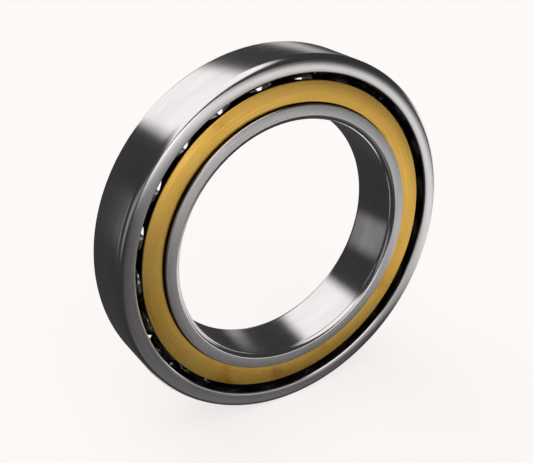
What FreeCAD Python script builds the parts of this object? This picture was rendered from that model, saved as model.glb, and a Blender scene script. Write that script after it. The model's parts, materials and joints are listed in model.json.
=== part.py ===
import FreeCAD, Part
import math
import os
import Sketcher

# Open single-row angular contact ball bearing, 100 x 150 x 24 mm.
# Units are millimetres. The bearing stands on its rim: the spin axis is +Y, +Z is up,
# the open (counterbored) side of the outer ring faces -Y.
# The origin is on the spin axis, half way across the rings.

doc = FreeCAD.newDocument("angular_contact_bearing")
sheet = doc.addObject("Spreadsheet::Sheet", "Dimensions")

CELLS = [
    ("bore_diameter", "100 mm"),
    ("outside_diameter", "150 mm"),
    ("ring_width", "24 mm"),
    ("corner_radius", "2.2 mm"),
    ("edge_break", "0.4 mm"),
    ("opening_diameter", "136.3 mm"),
    ("thrust_shoulder_diameter", "133 mm"),
    ("inner_shoulder_diameter", "112.6 mm"),
    ("ball_diameter", "15.875 mm"),
    ("ball_count", "22"),
    ("pitch_diameter", "124 mm"),
    ("ball_row_setback", "1 mm"),
    ("contact_angle", "25 deg"),
    ("race_conformity", "0.52"),
    ("ball_clearance", "0.06 mm"),
    ("first_ball_angle", "2 deg"),
    ("cage_outside_diameter", "130.2 mm"),
    ("cage_bore_diameter", "113 mm"),
    ("cage_width", "18.8 mm"),
    ("cage_edge_break", "0.35 mm"),
    ("pocket_clearance", "0.16 mm"),
    ("half_width", "=ring_width / 2"),
    ("ball_radius", "=ball_diameter / 2"),
    ("pitch_radius", "=pitch_diameter / 2"),
    ("race_radius", "=race_conformity * ball_diameter"),
    ("race_offset", "=race_radius - ball_radius - ball_clearance"),
    ("race_radial_shift", "=race_offset * cos(contact_angle)"),
    ("race_axial_shift", "=race_offset * sin(contact_angle)"),
    ("pocket_radius", "=ball_radius + pocket_clearance"),
    ("pocket_step", "=360 deg / ball_count"),
]

for row, (alias, value) in enumerate(CELLS, start=1):
    sheet.set("A%d" % row, alias)
    sheet.set("B%d" % row, value if value.startswith("=") else "=" + value)
    sheet.setAlias("B%d" % row, alias)
doc.recompute()


def cell(alias):
    value = sheet.get(alias)
    return float(getattr(value, "Value", value))


def cells(text):
    # Names of cells in an expression get the sheet's own name in front of them.
    for alias in sorted((name for name, _ in CELLS), key=len, reverse=True):
        text = text.replace("[" + alias + "]", "Dimensions." + alias)
    return text


def origin_plane(body, role):
    for item in body.Origin.OriginFeatures:
        if item.Role == role:
            return item
    raise RuntimeError("no origin plane " + role)


def new_body(label):
    body = doc.addObject("PartDesign::Body", label)
    body.Label = label
    return body


def new_sketch(body, name):
    # Across the sketch is the distance from the spin axis, up the sketch is +Y.
    sketch = body.newObject("Sketcher::SketchObject", name)
    sketch.AttachmentSupport = [(origin_plane(body, "XY_Plane"), "")]
    sketch.MapMode = "FlatFace"
    return sketch


def step_outline(sketch, corners):
    # A closed outline of lines along the two sketch axes. Each corner is a pair of expressions.
    points = []
    for across, along in corners:
        points.append((doc_value(across), doc_value(along)))
    count = len(points)
    for i in range(count):
        start = FreeCAD.Vector(points[i][0], points[i][1], 0)
        end = FreeCAD.Vector(points[(i + 1) % count][0], points[(i + 1) % count][1], 0)
        sketch.addGeometry(Part.LineSegment(start, end), False)
    for i in range(count):
        sketch.addConstraint(Sketcher.Constraint("Coincident", i, 2, (i + 1) % count, 1))
    for i in range(count):
        level = abs(points[i][1] - points[(i + 1) % count][1]) < 1e-9
        sketch.addConstraint(Sketcher.Constraint("Horizontal" if level else "Vertical", i))
    for i in range(count):
        level = abs(points[i][1] - points[(i + 1) % count][1]) < 1e-9
        kind = "DistanceY" if level else "DistanceX"
        value = points[i][1] if level else points[i][0]
        expression = corners[i][1] if level else corners[i][0]
        place(sketch, kind, i, 1, value, expression)


def doc_value(expression):
    text = expression
    for alias in sorted((name for name, _ in CELLS), key=len, reverse=True):
        text = text.replace("[" + alias + "]", repr(cell(alias)))
    total = 0.0
    for term in text.replace("- ", "-").replace("+ ", "+").split():
        total += float(term)
    return total


def place(sketch, kind, curve, point, value, expression):
    # A distance from the sketch's origin, always stated as a positive length.
    if value >= 0:
        constraint = Sketcher.Constraint(kind, -1, 1, curve, point, value)
        text = expression
    else:
        constraint = Sketcher.Constraint(kind, curve, point, -1, 1, -value)
        text = "0 mm - (" + expression + ")"
    index = sketch.addConstraint(constraint)
    sketch.setExpression("Constraints[%d]" % index, cells(text))


def revolve(body, sketch, name, kind, axis):
    feature = body.newObject(kind, name)
    feature.Profile = sketch
    feature.ReferenceAxis = (sketch, [axis])
    feature.Angle = 360.0
    sketch.Visibility = False
    doc.recompute()
    return feature


def round_edges(body, radius, height):
    # Names of the full circles of one radius around the spin axis at one height along it.
    names = []
    for number, edge in enumerate(body.Shape.Edges, start=1):
        curve = edge.Curve
        if not isinstance(curve, Part.Circle):
            continue
        if abs(curve.Radius - radius) < 1e-4 and abs(curve.Center.y - height) < 1e-4:
            names.append("Edge%d" % number)
    if not names:
        raise RuntimeError("no edge at radius %.3f, height %.3f" % (radius, height))
    return names


def soften(body, name, kind, size_property, size_alias, circles):
    # A fillet or a chamfer on circles given as (radius, height) pairs.
    names = []
    for radius, height in circles:
        names.extend(round_edges(body, radius, height))
    base = body.Tip
    feature = body.newObject(kind, name)
    feature.Base = (base, names)
    setattr(feature, size_property, cell(size_alias))
    feature.setExpression(size_property, cells("[" + size_alias + "]"))
    doc.recompute()
    return feature


def race_groove(body, name, across, along):
    # The ball track: one circle swept round the spin axis and cut away.
    sketch = new_sketch(body, name + "_section")
    centre = FreeCAD.Vector(across[0], along[0], 0)
    sketch.addGeometry(Part.Circle(centre, FreeCAD.Vector(0, 0, 1), cell("race_radius")), False)
    place(sketch, "DistanceX", 0, 3, across[0], across[1])
    place(sketch, "DistanceY", 0, 3, along[0], along[1])
    index = sketch.addConstraint(Sketcher.Constraint("Radius", 0, cell("race_radius")))
    sketch.setExpression("Constraints[%d]" % index, cells("[race_radius]"))
    return revolve(body, sketch, name, "PartDesign::Groove", "V_Axis")


half_width = cell("half_width")
ball_row_y = -cell("ball_row_setback")
outside_radius = cell("outside_diameter") / 2
bore_radius = cell("bore_diameter") / 2
opening_radius = cell("opening_diameter") / 2
thrust_radius = cell("thrust_shoulder_diameter") / 2
inner_shoulder_radius = cell("inner_shoulder_diameter") / 2
cage_outside_radius = cell("cage_outside_diameter") / 2
cage_bore_radius = cell("cage_bore_diameter") / 2
cage_front_y = ball_row_y - cell("cage_width") / 2
cage_back_y = ball_row_y + cell("cage_width") / 2

# Outer ring: low lip on the open side, high thrust shoulder behind the balls.
outer_ring = new_body("outer_ring")
section = new_sketch(outer_ring, "outer_ring_section")
sheet.set("D1", "radii used by the sketches")
RADII = [
    ("outside_radius", "=outside_diameter / 2"),
    ("bore_radius", "=bore_diameter / 2"),
    ("opening_radius", "=opening_diameter / 2"),
    ("thrust_radius", "=thrust_shoulder_diameter / 2"),
    ("inner_shoulder_radius", "=inner_shoulder_diameter / 2"),
    ("cage_outside_radius", "=cage_outside_diameter / 2"),
    ("cage_bore_radius", "=cage_bore_diameter / 2"),
    ("half_cage", "=cage_width / 2"),
    ("pocket_reach", "=cage_outside_diameter / 2 + 2 mm"),
]
for row, (alias, value) in enumerate(RADII, start=2):
    sheet.set("D%d" % row, alias)
    sheet.set("E%d" % row, value)
    sheet.setAlias("E%d" % row, alias)
CELLS.extend(RADII)
doc.recompute()

step_outline(section, [
    ("[opening_radius]", "-[half_width]"),
    ("[outside_radius]", "-[half_width]"),
    ("[outside_radius]", "[half_width]"),
    ("[thrust_radius]", "[half_width]"),
    ("[thrust_radius]", "-[ball_row_setback]"),
    ("[opening_radius]", "-[ball_row_setback]"),
])
revolve(outer_ring, section, "outer_ring_turning", "PartDesign::Revolution", "V_Axis")
soften(outer_ring, "outer_ring_corners", "PartDesign::Fillet", "Radius", "corner_radius",
       [(outside_radius, -half_width), (outside_radius, half_width)])
soften(outer_ring, "outer_ring_edges", "PartDesign::Chamfer", "Size", "edge_break",
       [(opening_radius, -half_width), (thrust_radius, half_width)])
race_groove(
    outer_ring, "outer_race",
    (cell("pitch_radius") - cell("race_radial_shift"), "[pitch_radius] - [race_radial_shift]"),
    (ball_row_y - cell("race_axial_shift"), "0 mm - [ball_row_setback] - [race_axial_shift]"))

# Inner ring: equal shoulders, with the track leaning the other way.
inner_ring = new_body("inner_ring")
section = new_sketch(inner_ring, "inner_ring_section")
step_outline(section, [
    ("[bore_radius]", "-[half_width]"),
    ("[inner_shoulder_radius]", "-[half_width]"),
    ("[inner_shoulder_radius]", "[half_width]"),
    ("[bore_radius]", "[half_width]"),
])
revolve(inner_ring, section, "inner_ring_turning", "PartDesign::Revolution", "V_Axis")
soften(inner_ring, "inner_ring_corners", "PartDesign::Fillet", "Radius", "corner_radius",
       [(bore_radius, -half_width), (bore_radius, half_width)])
soften(inner_ring, "inner_ring_edges", "PartDesign::Chamfer", "Size", "edge_break",
       [(inner_shoulder_radius, -half_width), (inner_shoulder_radius, half_width)])
race_groove(
    inner_ring, "inner_race",
    (cell("pitch_radius") + cell("race_radial_shift"), "[pitch_radius] + [race_radial_shift]"),
    (ball_row_y + cell("race_axial_shift"), "0 mm - [ball_row_setback] + [race_axial_shift]"))

# Cage: one machined ring with a round pocket for each ball.
cage = new_body("cage")
section = new_sketch(cage, "cage_section")
step_outline(section, [
    ("[cage_bore_radius]", "-[ball_row_setback] -[half_cage]"),
    ("[cage_outside_radius]", "-[ball_row_setback] -[half_cage]"),
    ("[cage_outside_radius]", "-[ball_row_setback] +[half_cage]"),
    ("[cage_bore_radius]", "-[ball_row_setback] +[half_cage]"),
])
revolve(cage, section, "cage_turning", "PartDesign::Revolution", "V_Axis")
soften(cage, "cage_edges", "PartDesign::Chamfer", "Size", "cage_edge_break",
       [(cage_bore_radius, cage_front_y), (cage_outside_radius, cage_front_y),
        (cage_bore_radius, cage_back_y), (cage_outside_radius, cage_back_y)])

# One pocket: drilled from outside down to the ball's widest part, with a round seat below.
# The sketch is turned to the first ball and moved to the plane of the ball row.
pocket_section = new_sketch(cage, "pocket_section")
pocket_section.AttachmentSupport = [(origin_plane(cage, "XY_Plane"), "")]
pocket_section.setExpression("AttachmentOffset.Base.y", cells("0 mm - [ball_row_setback]"))
pitch = cell("pitch_radius")
pocket = cell("pocket_radius")
reach = cell("pocket_reach")
seat = Part.ArcOfCircle(
    Part.Circle(FreeCAD.Vector(pitch, 0, 0), FreeCAD.Vector(0, 0, 1), pocket),
    math.pi / 2, math.pi)
pocket_section.addGeometry(seat, False)
wall_top = FreeCAD.Vector(reach, pocket, 0)
wall_foot = FreeCAD.Vector(reach, 0, 0)
seat_top = FreeCAD.Vector(pitch, pocket, 0)
seat_foot = FreeCAD.Vector(pitch - pocket, 0, 0)
pocket_section.addGeometry(Part.LineSegment(seat_top, wall_top), False)
pocket_section.addGeometry(Part.LineSegment(wall_top, wall_foot), False)
pocket_section.addGeometry(Part.LineSegment(wall_foot, seat_foot), False)
pocket_section.addConstraint(Sketcher.Constraint("Coincident", 0, 1, 1, 1))
pocket_section.addConstraint(Sketcher.Constraint("Coincident", 1, 2, 2, 1))
pocket_section.addConstraint(Sketcher.Constraint("Coincident", 2, 2, 3, 1))
pocket_section.addConstraint(Sketcher.Constraint("Coincident", 3, 2, 0, 2))
pocket_section.addConstraint(Sketcher.Constraint("PointOnObject", 0, 3, -1))
pocket_section.addConstraint(Sketcher.Constraint("PointOnObject", 0, 2, -1))
pocket_section.addConstraint(Sketcher.Constraint("Horizontal", 1))
pocket_section.addConstraint(Sketcher.Constraint("Vertical", 2))
pocket_section.addConstraint(Sketcher.Constraint("PointOnObject", 2, 2, -1))
place(pocket_section, "DistanceX", 0, 3, pitch, "[pitch_radius]")
place(pocket_section, "DistanceX", 1, 2, reach, "[pocket_reach]")
radius_index = pocket_section.addConstraint(Sketcher.Constraint("Radius", 0, pocket))
pocket_section.setExpression("Constraints[%d]" % radius_index, cells("[pocket_radius]"))
pocket_section.addConstraint(Sketcher.Constraint("DistanceX", 0, 3, 0, 1, 0.0))
plain_volume = cage.Shape.Volume
first_pocket = revolve(cage, pocket_section, "first_pocket", "PartDesign::Groove", "H_Axis")
one_pocket = plain_volume - cage.Shape.Volume

ball_count = int(round(cell("ball_count")))
pockets = cage.newObject("PartDesign::PolarPattern", "pockets")
pockets.Originals = [first_pocket]
pockets.Axis = (section, ["V_Axis"])
pockets.Angle = 360.0
pockets.setExpression("Occurrences", cells("[ball_count]"))
cage.Tip = pockets
doc.recompute()

# The cage stands turned so that its first pocket is at the first ball.
cage.setExpression("Placement.Rotation", cells("rotation(vector(0; 1; 0); 0 deg - [first_ball_angle])"))
doc.recompute()
all_pockets = plain_volume - cage.Shape.Volume
if abs(all_pockets - one_pocket * ball_count) > 0.001 * all_pockets:
    raise RuntimeError("pockets missing: %.1f of %.1f" % (all_pockets, one_pocket * ball_count))

# Balls: one in each pocket, evenly round the pitch circle.
balls = []
for number in range(ball_count):
    label = "ball_%02d" % (number + 1)
    ball = doc.addObject("Part::Sphere", label)
    ball.Label = label
    ball.setExpression("Radius", cells("[ball_radius]"))
    angle = cells("[first_ball_angle] + %d * [pocket_step]" % number)
    ball.setExpression("Placement.Base.x", cells("[pitch_radius]") + " * cos(" + angle + ")")
    ball.setExpression("Placement.Base.y", cells("0 mm - [ball_row_setback]"))
    ball.setExpression("Placement.Base.z", cells("[pitch_radius]") + " * sin(" + angle + ")")
    balls.append(ball)
doc.recompute()

os.makedirs("parts", exist_ok=True)
for item in doc.Objects:
    if "Invalid" in item.State or "Error" in item.State:
        raise RuntimeError("feature not built: " + item.Label)
for item in [outer_ring, inner_ring, cage] + balls:
    shape = item.Shape
    if shape.isNull() or not shape.isValid() or len(shape.Solids) != 1:
        raise RuntimeError("bad solid: " + item.Label)
    shape.exportStep("parts/" + item.Label + ".step")
    box = shape.BoundBox
    print("%-12s volume %10.1f  x %.2f..%.2f  y %.2f..%.2f  z %.2f..%.2f" % (
        item.Label, shape.Volume, box.XMin, box.XMax, box.YMin, box.YMax, box.ZMin, box.ZMax))
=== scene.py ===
import bpy
import bmesh
import json
import math
from mathutils import Matrix, Vector


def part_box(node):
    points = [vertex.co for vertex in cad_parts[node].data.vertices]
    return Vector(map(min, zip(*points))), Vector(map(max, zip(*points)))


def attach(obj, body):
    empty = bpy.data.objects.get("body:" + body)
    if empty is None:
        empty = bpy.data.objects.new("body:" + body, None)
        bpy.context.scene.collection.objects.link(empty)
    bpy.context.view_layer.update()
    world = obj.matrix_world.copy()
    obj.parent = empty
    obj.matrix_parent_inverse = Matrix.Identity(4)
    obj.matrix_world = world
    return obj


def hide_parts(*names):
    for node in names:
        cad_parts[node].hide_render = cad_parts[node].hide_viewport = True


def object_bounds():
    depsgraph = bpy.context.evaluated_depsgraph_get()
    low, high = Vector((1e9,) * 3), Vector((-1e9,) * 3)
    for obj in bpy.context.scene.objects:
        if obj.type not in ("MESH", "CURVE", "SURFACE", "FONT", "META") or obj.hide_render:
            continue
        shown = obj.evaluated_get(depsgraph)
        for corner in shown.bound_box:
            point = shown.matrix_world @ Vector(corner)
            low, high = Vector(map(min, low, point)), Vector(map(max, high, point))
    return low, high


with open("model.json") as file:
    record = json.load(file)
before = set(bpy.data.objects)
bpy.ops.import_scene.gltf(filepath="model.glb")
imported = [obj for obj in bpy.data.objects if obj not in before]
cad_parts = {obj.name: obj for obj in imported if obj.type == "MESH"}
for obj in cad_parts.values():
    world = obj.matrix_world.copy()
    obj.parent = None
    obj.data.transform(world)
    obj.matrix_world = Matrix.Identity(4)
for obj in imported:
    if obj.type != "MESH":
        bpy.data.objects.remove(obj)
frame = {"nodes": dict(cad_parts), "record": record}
cad_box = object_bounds()

MM = 0.001

# ---------------------------------------------------------------- sizes
ring_low, ring_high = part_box("outer_ring")
OUTSIDE_R = (ring_high[0] - ring_low[0]) / 2 / MM
HALF_WIDTH = (ring_high[1] - ring_low[1]) / 2 / MM
MOUNTS = {mount["name"]: mount for mount in frame["record"]["mounts"]}
BORE_R = MOUNTS["shaft_bore"]["dims"]["r_mm"]
CORNER_R = 2.2
LIP_CHAMFER = 0.4
EDGE_R = 0.4
OPENING_R = 68.15
THRUST_R = 66.5
INNER_SHOULDER_R = 56.3
CAGE_OUTSIDE_R = 65.1
CAGE_BORE_R = 56.5
CAGE_EDGE_R = 0.35
PITCH_R = 62.0
BALL_R = 7.9375
BALL_ROW_Y = -1.0
CAGE_HALF_WIDTH = 9.4
POCKET_CLEARANCE = 0.16
POCKET_R = BALL_R + POCKET_CLEARANCE
RACE_R = 8.255
BALL_CLEARANCE = 0.06
RACE_SHIFT = RACE_R - BALL_R - BALL_CLEARANCE
CONTACT_ANGLE = math.radians(25)
SEGMENTS = 360
CORNER_STEPS = 10
RACE_STEPS = 40
POCKET_COLUMNS = 64
POCKET_OVERSHOOT = 2


# ---------------------------------------------------------------- meshes
def arc(centre, radius, start, end, steps):
    """Points on an arc, as (distance from the axis, height along it), angles in degrees."""
    points = []
    for i in range(steps + 1):
        a = math.radians(start + (end - start) * i / steps)
        points.append((centre[0] + radius * math.cos(a), centre[1] + radius * math.sin(a)))
    return points


def mesh_object(name, bm, materials):
    mesh = bpy.data.meshes.new(name)
    bm.normal_update()
    bm.to_mesh(mesh)
    bm.free()
    for material in materials:
        mesh.materials.append(material)
    obj = bpy.data.objects.new(name, mesh)
    bpy.context.scene.collection.objects.link(obj)
    return obj


def smooth(obj, sharp_above=30):
    mesh = obj.data
    for polygon in mesh.polygons:
        polygon.use_smooth = True
    mesh.set_sharp_from_angle(angle=math.radians(sharp_above))


def lathe(name, outline, materials, finish):
    """A closed outline in millimetres turned round the Y axis.

    finish gives the number of the material for a stretch of the outline from its two ends.
    """
    bm = bmesh.new()
    rings = []
    for i in range(SEGMENTS):
        a = 2 * math.pi * i / SEGMENTS
        ring = []
        for r, y in outline:
            ring.append(bm.verts.new((r * MM * math.cos(a), y * MM, r * MM * math.sin(a))))
        rings.append(ring)
    count = len(outline)
    finishes = [finish(outline[k], outline[(k + 1) % count]) for k in range(count)]
    for i in range(SEGMENTS):
        here = rings[i]
        there = rings[(i + 1) % SEGMENTS]
        for k in range(count):
            n = (k + 1) % count
            face = bm.faces.new((here[k], here[n], there[n], there[k]))
            face.material_index = finishes[k]
    bmesh.ops.recalc_face_normals(bm, faces=bm.faces)
    return mesh_object(name, bm, materials)


def ring_corner(radius, y, size, quadrant, steps=6):
    """A rounded corner; quadrant is the angle where its arc starts, in degrees."""
    return arc((radius, y), size, quadrant, quadrant + 90, steps)


def eased_chamfer(radius, y, size):
    """A flat 45 degree chamfer from a bore out to a front face, with its two edges eased."""
    ease = size / 6
    return [(radius, y + size + ease), (radius + ease * 0.4, y + size - ease * 0.6),
            (radius + size - ease * 0.6, y + ease * 0.4), (radius + size + ease, y)]


def race_angles(centre, level_high, level_low, side):
    """Where a race arc meets the shoulders on its two sides, in degrees."""
    high = math.degrees(math.acos((level_high - centre[0]) / RACE_R))
    low = math.degrees(math.acos((level_low - centre[0]) / RACE_R))
    return (high, -low) if side > 0 else (high, 360 - low)


def outer_ring_outline():
    w = HALF_WIDTH
    centre = (PITCH_R - RACE_SHIFT * math.cos(CONTACT_ANGLE),
              BALL_ROW_Y - RACE_SHIFT * math.sin(CONTACT_ANGLE))
    back, front = race_angles(centre, THRUST_R, OPENING_R, 1)
    points = []
    points += ring_corner(OUTSIDE_R - CORNER_R, -w + CORNER_R, CORNER_R, -90, CORNER_STEPS)
    points += ring_corner(OUTSIDE_R - CORNER_R, w - CORNER_R, CORNER_R, 0, CORNER_STEPS)
    points += ring_corner(THRUST_R + EDGE_R, w - EDGE_R, EDGE_R, 90)
    points += arc(centre, RACE_R, back, front, RACE_STEPS)
    points += eased_chamfer(OPENING_R, -w, LIP_CHAMFER)
    return points


def inner_ring_outline():
    w = HALF_WIDTH
    centre = (PITCH_R + RACE_SHIFT * math.cos(CONTACT_ANGLE),
              BALL_ROW_Y + RACE_SHIFT * math.sin(CONTACT_ANGLE))
    back, front = race_angles(centre, INNER_SHOULDER_R, INNER_SHOULDER_R, -1)
    points = []
    points += ring_corner(INNER_SHOULDER_R - EDGE_R, -w + EDGE_R, EDGE_R, -90)
    points += arc(centre, RACE_R, front, back, RACE_STEPS)
    points += ring_corner(INNER_SHOULDER_R - EDGE_R, w - EDGE_R, EDGE_R, 0)
    points += ring_corner(BORE_R + CORNER_R, w - CORNER_R, CORNER_R, 90, CORNER_STEPS)
    points += ring_corner(BORE_R + CORNER_R, -w + CORNER_R, CORNER_R, 180, CORNER_STEPS)
    return points


def cage_outline():
    front = BALL_ROW_Y - CAGE_HALF_WIDTH
    back = BALL_ROW_Y + CAGE_HALF_WIDTH
    e = CAGE_EDGE_R
    points = []
    points += ring_corner(CAGE_OUTSIDE_R - e, front + e, e, -90)
    points += ring_corner(CAGE_OUTSIDE_R - e, back - e, e, 0)
    points += ring_corner(CAGE_BORE_R + e, back - e, e, 90)
    points += ring_corner(CAGE_BORE_R + e, front + e, e, 180)
    return points


def ball_mesh(name, radius, material, subdivisions=4):
    bm = bmesh.new()
    bmesh.ops.create_icosphere(bm, subdivisions=subdivisions, radius=radius * MM)
    mesh = bpy.data.meshes.new(name)
    bm.to_mesh(mesh)
    bm.free()
    mesh.materials.append(material)
    for polygon in mesh.polygons:
        polygon.use_smooth = True
    return mesh


def pocket_cutter(centres):
    """The shape of every ball pocket: a round seat with a straight wall out to the rim."""
    bm = bmesh.new()
    reach = CAGE_OUTSIDE_R + POCKET_OVERSHOOT - PITCH_R
    for centre in centres:
        out = Vector((centre[0], 0, centre[2])).normalized()
        side = Vector((0, 1, 0))
        across = out.cross(side)
        turn = Matrix((across, side, out)).transposed().to_4x4()
        place = Matrix.Translation(centre) @ turn
        levels = [(POCKET_R * math.cos(math.radians(a)), POCKET_R * math.sin(math.radians(a)))
                  for a in range(-80, 1, 8)]
        levels.append((POCKET_R, reach))
        rows = []
        for r, h in levels:
            row = []
            for i in range(POCKET_COLUMNS):
                a = 2 * math.pi * i / POCKET_COLUMNS
                point = Vector((r * math.cos(a) * MM, r * math.sin(a) * MM, h * MM))
                row.append(bm.verts.new(place @ point))
            rows.append(row)
        for k in range(len(rows) - 1):
            for i in range(POCKET_COLUMNS):
                n = (i + 1) % POCKET_COLUMNS
                bm.faces.new((rows[k][i], rows[k][n], rows[k + 1][n], rows[k + 1][i]))
        bm.faces.new(rows[-1])
        bm.faces.new(list(reversed(rows[0])))
    # The pocket walls get the painted shade material.
    for face in bm.faces:
        face.material_index = SHADED_INSIDE
    bmesh.ops.recalc_face_normals(bm, faces=bm.faces)
    return bm


# The places of the three finishes in each ring's list of materials; the second is the painted shade inside.
GROUND, SHADED_INSIDE, FLAT = 0, 1, 2
SAME_PLACE = 0.001
LIP_BORE_DEPTH = 0.3
BORE_SKIN = 3


def is_front_or_back(first, second):
    return abs(first[1] - second[1]) < SAME_PLACE and abs(first[1]) > HALF_WIDTH - SAME_PLACE


def outer_finish(first, second):
    """Inside, painted with shade, are the lip's bore, the track and the thrust shoulder's bore."""
    if is_front_or_back(first, second):
        return FLAT
    return SHADED_INSIDE if max(first[0], second[0]) < OPENING_R + LIP_BORE_DEPTH else GROUND


def inner_finish(first, second):
    """Inside, painted with shade, are the track and the two cylinders beside it."""
    if is_front_or_back(first, second):
        return FLAT
    middle_r = (first[0] + second[0]) / 2
    middle_y = abs(first[1] + second[1]) / 2
    return SHADED_INSIDE if middle_r > BORE_R + BORE_SKIN and middle_y < HALF_WIDTH - EDGE_R else GROUND


def cage_finish(first, second):
    """The cage's two cylinders run close to the rings and are painted with shade."""
    return SHADED_INSIDE if abs(first[0] - second[0]) < SAME_PLACE else GROUND


# ---------------------------------------------------------------- materials
def node(tree, kind, **values):
    made = tree.nodes.new(kind)
    for key, value in values.items():
        setattr(made, key, value)
    return made


def math_node(tree, operation, a, b=None):
    made = tree.nodes.new("ShaderNodeMath")
    made.operation = operation
    for index, value in enumerate((a, b)):
        if value is None:
            continue
        if isinstance(value, (int, float)):
            made.inputs[index].default_value = value
        else:
            tree.links.new(value, made.inputs[index])
    return made.outputs[0]


def turned_coordinates(tree, along, around):
    """Texture coordinates of a turned part: radius and height fine, angle stretched."""
    position = node(tree, "ShaderNodeTexCoord")
    split = node(tree, "ShaderNodeSeparateXYZ")
    tree.links.new(position.outputs["Object"], split.inputs[0])
    x, y, z = split.outputs
    squares = math_node(tree, "ADD", math_node(tree, "MULTIPLY", x, x), math_node(tree, "MULTIPLY", z, z))
    radius = math_node(tree, "SQRT", squares)
    join = node(tree, "ShaderNodeCombineXYZ")
    tree.links.new(math_node(tree, "MULTIPLY", math_node(tree, "ADD", radius, y), along), join.inputs[0])
    tree.links.new(math_node(tree, "MULTIPLY", x, around), join.inputs[1])
    tree.links.new(math_node(tree, "MULTIPLY", z, around), join.inputs[2])
    return join.outputs[0]


def noise(tree, vector, scale, detail=3.0, roughness=0.55):
    made = node(tree, "ShaderNodeTexNoise")
    made.inputs["Scale"].default_value = scale
    made.inputs["Detail"].default_value = detail
    made.inputs["Roughness"].default_value = roughness
    tree.links.new(vector, made.inputs["Vector"])
    return made.outputs[0]


def ramp(tree, factor, stops):
    made = node(tree, "ShaderNodeValToRGB")
    elements = made.color_ramp.elements
    while len(elements) < len(stops):
        elements.new(1.0)
    for element, (position, colour) in zip(elements, stops):
        element.position = position
        element.color = (*colour, 1)
    tree.links.new(factor, made.inputs[0])
    return made.outputs[0]


def map_range(tree, value, low, high, to_low, to_high):
    made = node(tree, "ShaderNodeMapRange")
    tree.links.new(value, made.inputs[0])
    for index, number in enumerate((low, high, to_low, to_high), start=1):
        made.inputs[index].default_value = number
    return made.outputs[0]


def metal(name, anisotropy):
    material = bpy.data.materials.new(name)
    material.use_nodes = True
    tree = material.node_tree
    shader = tree.nodes["Principled BSDF"]
    shader.inputs["Metallic"].default_value = 1.0
    shader.inputs["Anisotropic"].default_value = anisotropy
    if anisotropy:
        shader.inputs["Anisotropic Rotation"].default_value = 0.25
        tangent = node(tree, "ShaderNodeTangent", direction_type="RADIAL", axis="Y")
        tree.links.new(tangent.outputs[0], shader.inputs["Tangent"])
    return material, tree, shader


def ring_steel(name, anisotropy, smoothest, roughest):
    """Ground bearing steel: fine circular grinding lines, slightly uneven polish."""
    material, tree, shader = metal(name, anisotropy)
    lines = noise(tree, turned_coordinates(tree, 2600, 60), 1.0, 4)
    broad = noise(tree, turned_coordinates(tree, 160, 24), 1.0, 2)
    tint = ramp(tree, broad, [(0.3, (0.55, 0.54, 0.555)),
                              (0.5, (0.59, 0.58, 0.59)),
                              (0.7, (0.63, 0.62, 0.63))])
    tree.links.new(tint, shader.inputs["Base Color"])
    tree.links.new(map_range(tree, lines, 0.3, 0.7, smoothest, roughest), shader.inputs["Roughness"])
    bump = node(tree, "ShaderNodeBump")
    bump.inputs["Strength"].default_value = 0.12
    bump.inputs["Distance"].default_value = 0.00003
    tree.links.new(lines, bump.inputs["Height"])
    tree.links.new(bump.outputs[0], shader.inputs["Normal"])
    return material


def cage_brass():
    """Turned brass with soft turning marks and a few brown tarnish spots."""
    material, tree, shader = metal("cage_brass", 0.2)
    lines = noise(tree, turned_coordinates(tree, 1800, 30), 1.0, 4)
    place = node(tree, "ShaderNodeTexCoord")
    stains = noise(tree, place.outputs["Object"], 38, 5, 0.6)
    tone = ramp(tree, stains, [(0.30, (0.66, 0.32, 0.05)),
                               (0.42, (0.93, 0.56, 0.11)),
                               (0.7, (0.97, 0.62, 0.15))])
    tree.links.new(tone, shader.inputs["Base Color"])
    tree.links.new(map_range(tree, lines, 0.3, 0.7, 0.26, 0.36), shader.inputs["Roughness"])
    bump = node(tree, "ShaderNodeBump")
    bump.inputs["Strength"].default_value = 0.02
    bump.inputs["Distance"].default_value = 0.00003
    tree.links.new(lines, bump.inputs["Height"])
    tree.links.new(bump.outputs[0], shader.inputs["Normal"])
    return material


def shade_painted_metal(name, dark, light):
    """Surfaces inside the bearing, painted near-black as shade where little light reaches, with a mottled
    tone.
    """
    material, tree, shader = metal(name, 0.0)
    place = node(tree, "ShaderNodeTexCoord")
    shade_mottle = noise(tree, place.outputs["Object"], 160, 4)
    tree.links.new(ramp(tree, shade_mottle, [(0.35, dark), (0.7, light)]), shader.inputs["Base Color"])
    tree.links.new(map_range(tree, shade_mottle, 0.3, 0.7, 0.32, 0.48), shader.inputs["Roughness"])
    return material


def ball_steel():
    """Lapped bearing balls: a near mirror with a trace of unevenness."""
    material, tree, shader = metal("ball_steel", 0.0)
    place = node(tree, "ShaderNodeTexCoord")
    haze = noise(tree, place.outputs["Object"], 220, 3)
    tint = ramp(tree, haze, [(0.3, (0.74, 0.74, 0.76)), (0.7, (0.80, 0.80, 0.81))])
    tree.links.new(tint, shader.inputs["Base Color"])
    tree.links.new(map_range(tree, haze, 0.3, 0.7, 0.09, 0.14), shader.inputs["Roughness"])
    return material


STEEL = ring_steel("ring_steel", 0.6, 0.12, 0.20)
OUTER_FACE_STEEL = ring_steel("outer_face_steel", 0.3, 0.10, 0.16)
INNER_FACE_STEEL = ring_steel("inner_face_steel", 0.3, 0.26, 0.36)
BRASS = cage_brass()
BALL_STEEL = ball_steel()
# Near-black materials that paint shade onto the surfaces inside the bearing, where little light reaches.
SHADE_STEEL = shade_painted_metal("painted_shade_steel", (0.035, 0.032, 0.032), (0.07, 0.065, 0.062))
SHADE_BRASS = shade_painted_metal("painted_shade_brass", (0.035, 0.024, 0.014), (0.08, 0.052, 0.025))

# ---------------------------------------------------------------- pieces
outer = lathe("outer_ring_turned", outer_ring_outline(), [STEEL, SHADE_STEEL, OUTER_FACE_STEEL], outer_finish)
smooth(outer)
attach(outer, "outer_ring")
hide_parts("outer_ring")

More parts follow.
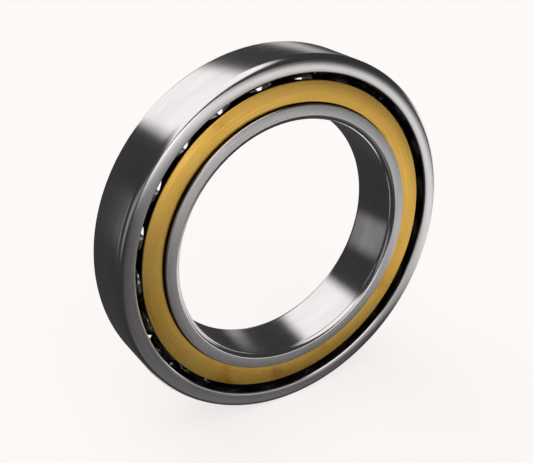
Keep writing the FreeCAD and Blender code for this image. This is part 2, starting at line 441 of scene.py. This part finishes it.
inner = lathe("inner_ring_turned", inner_ring_outline(), [STEEL, SHADE_STEEL, INNER_FACE_STEEL], inner_finish)
smooth(inner)
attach(inner, "inner_ring")
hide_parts("inner_ring")

ball_names = sorted(name for name in frame["nodes"] if name.startswith("ball_"))
centres = []
for name in ball_names:
    low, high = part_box(name)
    centres.append((low + high) / 2)
shared_ball = ball_mesh("lapped_ball", BALL_R, BALL_STEEL)
for name, centre in zip(ball_names, centres):
    piece = bpy.data.objects.new(name + "_lapped", shared_ball)
    bpy.context.scene.collection.objects.link(piece)
    piece.location = centre
    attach(piece, name)
    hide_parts(name)

cage = lathe("cage_machined", cage_outline(), [BRASS, SHADE_BRASS], cage_finish)
cutter = mesh_object("pocket_cutter", pocket_cutter(centres), [BRASS, SHADE_BRASS])
cut = cage.modifiers.new("pockets", "BOOLEAN")
cut.operation = "DIFFERENCE"
cut.solver = "EXACT"
cut.object = cutter
bpy.context.view_layer.update()
evaluated = cage.evaluated_get(bpy.context.evaluated_depsgraph_get())
cut_mesh = bpy.data.meshes.new_from_object(evaluated)
cage.modifiers.clear()
cage.data = cut_mesh
bpy.data.objects.remove(cutter)
smooth(cage, 35)
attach(cage, "cage")
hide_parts("cage")

# ---------------------------------------------------------------- floor
bpy.ops.mesh.primitive_plane_add(size=6, location=(0, 0, cad_box[0][2]))
floor = bpy.context.object
floor.name = "floor"
floor.visible_glossy = False
paint = bpy.data.materials.new("pale_floor")
paint.use_nodes = True
tree = paint.node_tree
surface = tree.nodes["Principled BSDF"]
surface.inputs["Base Color"].default_value = (0.27, 0.262, 0.26, 1)
surface.inputs["Roughness"].default_value = 0.9
surface.inputs["Specular IOR Level"].default_value = 0.1
surface.inputs["Emission Color"].default_value = (0.985, 0.955, 0.945, 1)
surface.inputs["Emission Strength"].default_value = 0.79
floor.data.materials.append(paint)

# ---------------------------------------------------------------- studio light
# Each softbox hangs round the bearing's axis: the turn about the axis it hangs at and half its
# width, both in degrees, then where along the axis it starts and ends, and its strength.
SOFTBOXES = {
    "overhead": (98, 30, -1.1, 1.1, 1.4),
    "right": (340, 18, -0.35, 0.55, 1.3),
    "under_behind": (275, 16, 0.15, 0.55, 1.5),
    "behind_right": (10, 8, 0.75, 1.1, 0.8),
    "left": (184, 16, 0.60, 0.75, 0.40),
    "left_front": (180, 16, -1.1, -0.40, 0.30),
    "under_front": (282, 30, -0.80, -0.55, 0.15),
}
ROOM = 0.055
SOFT_TURN = 5
SOFT_LENGTH = 0.08
# The low softbox in front, which the flat faces mirror, and the lamp at its left end. Their edges
# are distances along FRONT_UP and FRONT_ACROSS, two directions at right angles to the axis.
FRONT_UP = Vector((0.463, 0.0, 0.887))
FRONT_ACROSS = Vector((0.887, 0.0, -0.463))
FRONT_BOTTOM = -0.16
FRONT_TOP = 0.0
FRONT_STRENGTH = 1.1
FRONT_SOFT = 0.05
FRONT_LEFT = (0.10, 0.20)
FRONT_DEPTH = (-0.45, -0.35)
LAMP_LEFT = 0.30
LAMP_RIGHT = 0.47
LAMP_STRENGTH = 1.2
LAMP_SOFT = 0.03
PANEL_TINT = (1.0, 0.975, 0.96, 1)
BACKDROP = (0.975, 0.94, 0.93, 1)


def inside(tree, value, low, high, soft):
    """1 between low and high, falling softly to 0 outside them."""
    rise = map_range(tree, value, low - soft, low + soft, 0.0, 1.0)
    fall = map_range(tree, value, high - soft, high + soft, 1.0, 0.0)
    return math_node(tree, "MULTIPLY", rise, fall)


def reach_along(tree, vector, direction):
    """How far a vector reaches along a direction."""
    made = node(tree, "ShaderNodeVectorMath", operation="DOT_PRODUCT")
    tree.links.new(vector, made.inputs[0])
    made.inputs[1].default_value = direction
    return made.outputs["Value"]


def softbox(tree, turn, y, centre, half_width, start, end, strength):
    """A soft-edged panel at one turn about the axis, from one place along it to another."""
    away = math_node(tree, "FRACT", math_node(tree, "ADD", turn, 1.5 - centre / 360))
    away = math_node(tree, "MULTIPLY", math_node(tree, "SUBTRACT", away, 0.5), 360.0)
    wide = inside(tree, away, -half_width, half_width, SOFT_TURN)
    long = inside(tree, y, start, end, SOFT_LENGTH)
    return math_node(tree, "MULTIPLY", math_node(tree, "MULTIPLY", wide, long), strength)


def front_softbox(tree, vector, y):
    """The low front panel, with a stronger lamp at its left end."""
    up = reach_along(tree, vector, FRONT_UP)
    across = reach_along(tree, vector, FRONT_ACROSS)
    panel = inside(tree, up, FRONT_BOTTOM, FRONT_TOP, FRONT_SOFT)
    right_of = map_range(tree, across, *FRONT_LEFT, 0.0, 1.0)
    in_front = map_range(tree, y, *FRONT_DEPTH, 1.0, 0.0)
    lamp = inside(tree, across, LAMP_LEFT, LAMP_RIGHT, LAMP_SOFT)
    level = math_node(tree, "ADD", math_node(tree, "MULTIPLY", lamp, LAMP_STRENGTH), FRONT_STRENGTH)
    shape = math_node(tree, "MULTIPLY", math_node(tree, "MULTIPLY", panel, right_of), in_front)
    return math_node(tree, "MULTIPLY", shape, level)


def studio():
    """A dim even room with a few softboxes in it."""
    world = bpy.data.worlds.new("studio")
    bpy.context.scene.world = world
    world.use_nodes = True
    tree = world.node_tree
    tree.nodes.clear()
    place = node(tree, "ShaderNodeTexCoord").outputs["Generated"]
    split = node(tree, "ShaderNodeSeparateXYZ")
    tree.links.new(place, split.inputs[0])
    x, y, z = split.outputs
    turn = math_node(tree, "DIVIDE", math_node(tree, "ARCTAN2", z, x), 2 * math.pi)
    light = math_node(tree, "ADD", front_softbox(tree, place, y), ROOM)
    for shape in SOFTBOXES.values():
        light = math_node(tree, "ADD", light, softbox(tree, turn, y, *shape))
    panels = node(tree, "ShaderNodeBackground")
    panels.inputs["Color"].default_value = PANEL_TINT
    tree.links.new(light, panels.inputs["Strength"])
    backdrop = node(tree, "ShaderNodeBackground")
    backdrop.inputs["Color"].default_value = BACKDROP
    ray = node(tree, "ShaderNodeLightPath")
    choose = node(tree, "ShaderNodeMixShader")
    tree.links.new(ray.outputs["Is Camera Ray"], choose.inputs[0])
    tree.links.new(panels.outputs[0], choose.inputs[1])
    tree.links.new(backdrop.outputs[0], choose.inputs[2])
    out = node(tree, "ShaderNodeOutputWorld")
    tree.links.new(choose.outputs[0], out.inputs[0])


studio()

# ---------------------------------------------------------------- camera
CAMERA_AT = Vector((-0.17830, -0.27189, 0.16185))
RIGHT = Vector((0.84335, -0.53737, 0.0))
UP = Vector((0.23978, 0.37632, 0.89492))
BACK = Vector((-0.48090, -0.75473, 0.44622))
SENSOR_MM = 36.0
LENS_MM = 60.39
lens = bpy.data.cameras.new("camera")
lens.sensor_width = SENSOR_MM
lens.lens = LENS_MM
lens.clip_start = 0.01
camera = bpy.data.objects.new("camera", lens)
bpy.context.scene.collection.objects.link(camera)
turn = Matrix((RIGHT, UP, BACK)).transposed()
camera.matrix_world = Matrix.Translation(CAMERA_AT) @ turn.to_4x4()
bpy.context.scene.camera = camera
bpy.context.scene.view_settings.view_transform = "Standard"
